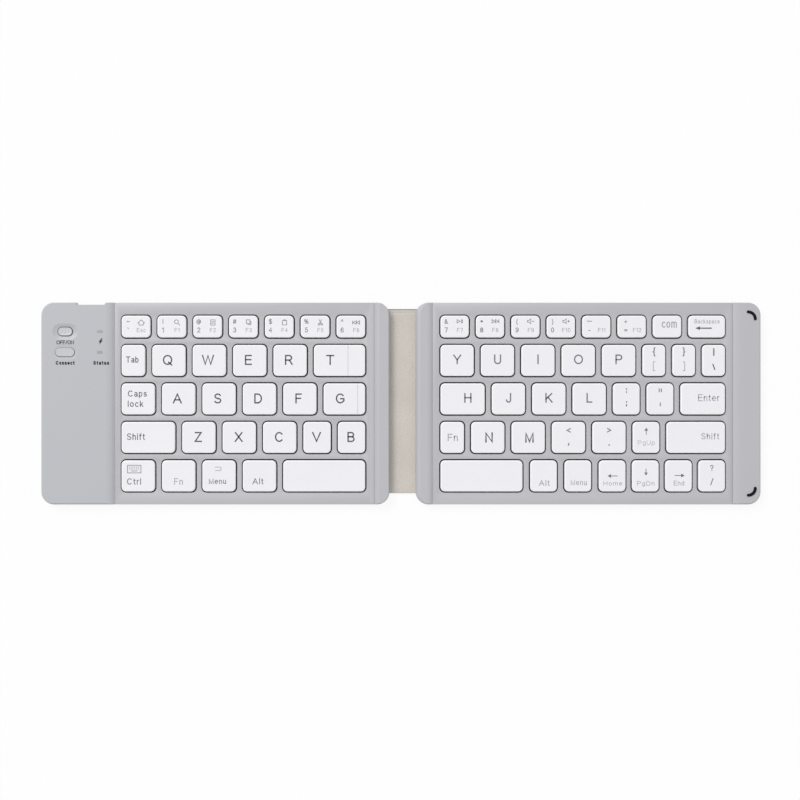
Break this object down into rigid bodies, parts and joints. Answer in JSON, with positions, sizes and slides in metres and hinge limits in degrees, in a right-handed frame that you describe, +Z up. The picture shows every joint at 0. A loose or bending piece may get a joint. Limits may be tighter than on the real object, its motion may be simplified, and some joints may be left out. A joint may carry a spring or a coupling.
{
  "type": "folding keyboard",
  "caption": "Slim compact keyboard in two halves that fold face to face on a soft leather spine, with a raised battery compartment at the left end.",
  "frame": {"origin": "centre of the open keyboard's footprint, on the surface that it lies on", "axes": "+X to the typist's right along the open length, +Y away from the typist, +Z up"},
  "size_m": [0.3028, 0.085, 0.0054],
  "materials": {
    "case_plastic": "fine satin grain, silver grey",
    "cover_plastic": "fine satin grain, silver grey",
    "panel_metal": "matt silver anodised sheet",
    "key_plastic": "white, lightly textured, with printed grey legends",
    "leather": "fine-grained warm grey synthetic leather",
    "membrane_film": "printed polyester film",
    "dome_rubber": "translucent silicone rubber",
    "battery_foil": "foil pouch",
    "circuit_board": "solder mask",
    "port_metal": "plated steel",
    "lamp_window": "milky light guide",
    "knob_plastic": "satin",
    "button_plastic": "satin",
    "cable_film": "polyimide film",
    "bumper_rubber": "matt black"
  },
  "bodies": {
    "left_half": {"left_bottom_shell": "case_plastic", "battery_cover": "cover_plastic", "left_key_panel": "panel_metal", "left_hinge_rail": "case_plastic", "left_membrane": "membrane_film", "left_rubber_domes": "dome_rubber", "left_leather_cover": "leather", "battery": "battery_foil", "main_board": "circuit_board", "charging_port": "port_metal", "status_lamps": "lamp_window"},
    "spine": {"leather_spine": "leather", "spine_flat_cable": "cable_film"},
    "right_half": {"right_bottom_shell": "case_plastic", "right_key_panel": "panel_metal", "right_hinge_rail": "case_plastic", "right_end_rail": "case_plastic", "right_membrane": "membrane_film", "right_rubber_domes": "dome_rubber", "right_leather_cover": "leather", "arc_bumpers": "bumper_rubber"},
    "power_switch_knob": {"power_switch_knob": "knob_plastic"},
    "connect_button": {"connect_button": "button_plastic"},
    "q_key": {"q_key": "key_plastic"},
    "w_key": {"w_key": "key_plastic"},
    "e_key": {"e_key": "key_plastic"},
    "r_key": {"r_key": "key_plastic"},
    "t_key": {"t_key": "key_plastic"},
    "a_key": {"a_key": "key_plastic"},
    "s_key": {"s_key": "key_plastic"},
    "d_key": {"d_key": "key_plastic"},
    "f_key": {"f_key": "key_plastic"},
    "g_key": {"g_key": "key_plastic"},
    "z_key": {"z_key": "key_plastic"},
    "x_key": {"x_key": "key_plastic"},
    "c_key": {"c_key": "key_plastic"},
    "v_key": {"v_key": "key_plastic"},
    "b_key": {"b_key": "key_plastic"},
    "y_key": {"y_key": "key_plastic"},
    "u_key": {"u_key": "key_plastic"},
    "i_key": {"i_key": "key_plastic"},
    "o_key": {"o_key": "key_plastic"},
    "p_key": {"p_key": "key_plastic"},
    "h_key": {"h_key": "key_plastic"},
    "j_key": {"j_key": "key_plastic"},
    "k_key": {"k_key": "key_plastic"},
    "l_key": {"l_key": "key_plastic"},
    "n_key": {"n_key": "key_plastic"},
    "m_key": {"m_key": "key_plastic"},
    "left_number_keys": {"left_number_keys": "key_plastic"},
    "left_edge_keys": {"left_edge_keys": "key_plastic"},
    "left_modifier_keys": {"left_modifier_keys": "key_plastic"},
    "left_space_bar": {"left_space_bar": "key_plastic"},
    "right_number_keys": {"right_number_keys": "key_plastic"},
    "backspace_key": {"backspace_key": "key_plastic"},
    "enter_key": {"enter_key": "key_plastic"},
    "punctuation_keys": {"punctuation_keys": "key_plastic"},
    "right_modifier_keys": {"right_modifier_keys": "key_plastic"},
    "arrow_keys": {"arrow_keys": "key_plastic"},
    "right_space_bar": {"right_space_bar": "key_plastic"}
  },
  "joints": [
    {"name": "spine_fold", "type": "hinge", "parent": "left_half", "child": "spine", "pos_m": [-0.0043, 0.001, 0.0004], "axis": [0, -1, 0], "range_deg": [0, 90]},
    {"name": "right_half_fold", "type": "hinge", "parent": "spine", "child": "right_half", "pos_m": [0.0056, 0.001, 0.0004], "axis": [0, -1, 0], "range_deg": [0, 90]},
    {"name": "power_switch_slide", "type": "slide", "parent": "left_half", "child": "power_switch_knob", "axis": [1, 0, 0], "range_m": [-0.001, 0.001]},
    {"name": "connect_button_press", "type": "slide", "parent": "left_half", "child": "connect_button", "axis": [0, 0, -1], "range_m": [0, 0.0003], "stiffness_N_per_m": 1500},
    {"name": "q_key_press", "type": "slide", "parent": "left_half", "child": "q_key", "axis": [0, 0, -1], "range_m": [0, 0.0012], "stiffness_N_per_m": 400, "deforming": ["left_rubber_domes"]},
    {"name": "w_key_press", "type": "slide", "parent": "left_half", "child": "w_key", "axis": [0, 0, -1], "range_m": [0, 0.0012], "stiffness_N_per_m": 400, "deforming": ["left_rubber_domes"]},
    {"name": "e_key_press", "type": "slide", "parent": "left_half", "child": "e_key", "axis": [0, 0, -1], "range_m": [0, 0.0012], "stiffness_N_per_m": 400, "deforming": ["left_rubber_domes"]},
    {"name": "r_key_press", "type": "slide", "parent": "left_half", "child": "r_key", "axis": [0, 0, -1], "range_m": [0, 0.0012], "stiffness_N_per_m": 400, "deforming": ["left_rubber_domes"]},
    {"name": "t_key_press", "type": "slide", "parent": "left_half", "child": "t_key", "axis": [0, 0, -1], "range_m": [0, 0.0012], "stiffness_N_per_m": 400, "deforming": ["left_rubber_domes"]},
    {"name": "a_key_press", "type": "slide", "parent": "left_half", "child": "a_key", "axis": [0, 0, -1], "range_m": [0, 0.0012], "stiffness_N_per_m": 400, "deforming": ["left_rubber_domes"]},
    {"name": "s_key_press", "type": "slide", "parent": "left_half", "child": "s_key", "axis": [0, 0, -1], "range_m": [0, 0.0012], "stiffness_N_per_m": 400, "deforming": ["left_rubber_domes"]},
    {"name": "d_key_press", "type": "slide", "parent": "left_half", "child": "d_key", "axis": [0, 0, -1], "range_m": [0, 0.0012], "stiffness_N_per_m": 400, "deforming": ["left_rubber_domes"]},
    {"name": "f_key_press", "type": "slide", "parent": "left_half", "child": "f_key", "axis": [0, 0, -1], "range_m": [0, 0.0012], "stiffness_N_per_m": 400, "deforming": ["left_rubber_domes"]},
    {"name": "g_key_press", "type": "slide", "parent": "left_half", "child": "g_key", "axis": [0, 0, -1], "range_m": [0, 0.0012], "stiffness_N_per_m": 400, "deforming": ["left_rubber_domes"]},
    {"name": "z_key_press", "type": "slide", "parent": "left_half", "child": "z_key", "axis": [0, 0, -1], "range_m": [0, 0.0012], "stiffness_N_per_m": 400, "deforming": ["left_rubber_domes"]},
    {"name": "x_key_press", "type": "slide", "parent": "left_half", "child": "x_key", "axis": [0, 0, -1], "range_m": [0, 0.0012], "stiffness_N_per_m": 400, "deforming": ["left_rubber_domes"]},
    {"name": "c_key_press", "type": "slide", "parent": "left_half", "child": "c_key", "axis": [0, 0, -1], "range_m": [0, 0.0012], "stiffness_N_per_m": 400, "deforming": ["left_rubber_domes"]},
    {"name": "v_key_press", "type": "slide", "parent": "left_half", "child": "v_key", "axis": [0, 0, -1], "range_m": [0, 0.0012], "stiffness_N_per_m": 400, "deforming": ["left_rubber_domes"]},
    {"name": "b_key_press", "type": "slide", "parent": "left_half", "child": "b_key", "axis": [0, 0, -1], "range_m": [0, 0.0012], "stiffness_N_per_m": 400, "deforming": ["left_rubber_domes"]},
    {"name": "left_number_keys_press", "type": "slide", "parent": "left_half", "child": "left_number_keys", "axis": [0, 0, -1], "range_m": [0, 0.0012], "stiffness_N_per_m": 2800, "deforming": ["left_rubber_domes"]},
    {"name": "left_edge_keys_press", "type": "slide", "parent": "left_half", "child": "left_edge_keys", "axis": [0, 0, -1], "range_m": [0, 0.0012], "stiffness_N_per_m": 1200, "deforming": ["left_rubber_domes"]},
    {"name": "left_modifier_keys_press", "type": "slide", "parent": "left_half", "child": "left_modifier_keys", "axis": [0, 0, -1], "range_m": [0, 0.0012], "stiffness_N_per_m": 1600, "deforming": ["left_rubber_domes"]},
    {"name": "left_space_bar_press", "type": "slide", "parent": "left_half", "child": "left_space_bar", "axis": [0, 0, -1], "range_m": [0, 0.0012], "stiffness_N_per_m": 400, "deforming": ["left_rubber_domes"]},
    {"name": "y_key_press", "type": "slide", "parent": "right_half", "child": "y_key", "axis": [0, 0, -1], "range_m": [0, 0.0012], "stiffness_N_per_m": 400, "deforming": ["right_rubber_domes"]},
    {"name": "u_key_press", "type": "slide", "parent": "right_half", "child": "u_key", "axis": [0, 0, -1], "range_m": [0, 0.0012], "stiffness_N_per_m": 400, "deforming": ["right_rubber_domes"]},
    {"name": "i_key_press", "type": "slide", "parent": "right_half", "child": "i_key", "axis": [0, 0, -1], "range_m": [0, 0.0012], "stiffness_N_per_m": 400, "deforming": ["right_rubber_domes"]},
    {"name": "o_key_press", "type": "slide", "parent": "right_half", "child": "o_key", "axis": [0, 0, -1], "range_m": [0, 0.0012], "stiffness_N_per_m": 400, "deforming": ["right_rubber_domes"]},
    {"name": "p_key_press", "type": "slide", "parent": "right_half", "child": "p_key", "axis": [0, 0, -1], "range_m": [0, 0.0012], "stiffness_N_per_m": 400, "deforming": ["right_rubber_domes"]},
    {"name": "h_key_press", "type": "slide", "parent": "right_half", "child": "h_key", "axis": [0, 0, -1], "range_m": [0, 0.0012], "stiffness_N_per_m": 400, "deforming": ["right_rubber_domes"]},
    {"name": "j_key_press", "type": "slide", "parent": "right_half", "child": "j_key", "axis": [0, 0, -1], "range_m": [0, 0.0012], "stiffness_N_per_m": 400, "deforming": ["right_rubber_domes"]},
    {"name": "k_key_press", "type": "slide", "parent": "right_half", "child": "k_key", "axis": [0, 0, -1], "range_m": [0, 0.0012], "stiffness_N_per_m": 400, "deforming": ["right_rubber_domes"]},
    {"name": "l_key_press", "type": "slide", "parent": "right_half", "child": "l_key", "axis": [0, 0, -1], "range_m": [0, 0.0012], "stiffness_N_per_m": 400, "deforming": ["right_rubber_domes"]},
    {"name": "n_key_press", "type": "slide", "parent": "right_half", "child": "n_key", "axis": [0, 0, -1], "range_m": [0, 0.0012], "stiffness_N_per_m": 400, "deforming": ["right_rubber_domes"]},
    {"name": "m_key_press", "type": "slide", "parent": "right_half", "child": "m_key", "axis": [0, 0, -1], "range_m": [0, 0.0012], "stiffness_N_per_m": 400, "deforming": ["right_rubber_domes"]},
    {"name": "right_number_keys_press", "type": "slide", "parent": "right_half", "child": "right_number_keys", "axis": [0, 0, -1], "range_m": [0, 0.0012], "stiffness_N_per_m": 2800, "deforming": ["right_rubber_domes"]},
    {"name": "backspace_key_press", "type": "slide", "parent": "right_half", "child": "backspace_key", "axis": [0, 0, -1], "range_m": [0, 0.0012], "stiffness_N_per_m": 400, "deforming": ["right_rubber_domes"]},
    {"name": "enter_key_press", "type": "slide", "parent": "right_half", "child": "enter_key", "axis": [0, 0, -1], "range_m": [0, 0.0012], "stiffness_N_per_m": 400, "deforming": ["right_rubber_domes"]},
    {"name": "punctuation_keys_press", "type": "slide", "parent": "right_half", "child": "punctuation_keys", "axis": [0, 0, -1], "range_m": [0, 0.0012], "stiffness_N_per_m": 3200, "deforming": ["right_rubber_domes"]},
    {"name": "right_modifier_keys_press", "type": "slide", "parent": "right_half", "child": "right_modifier_keys", "axis": [0, 0, -1], "range_m": [0, 0.0012], "stiffness_N_per_m": 1600, "deforming": ["right_rubber_domes"]},
    {"name": "arrow_keys_press", "type": "slide", "parent": "right_half", "child": "arrow_keys", "axis": [0, 0, -1], "range_m": [0, 0.0012], "stiffness_N_per_m": 1600, "deforming": ["right_rubber_domes"]},
    {"name": "right_space_bar_press", "type": "slide", "parent": "right_half", "child": "right_space_bar", "axis": [0, 0, -1], "range_m": [0, 0.0012], "stiffness_N_per_m": 400, "deforming": ["right_rubber_domes"]}
  ],
  "couplings": [
    {"joint": "right_half_fold", "follows": "spine_fold", "ratio": 1}
  ]
}
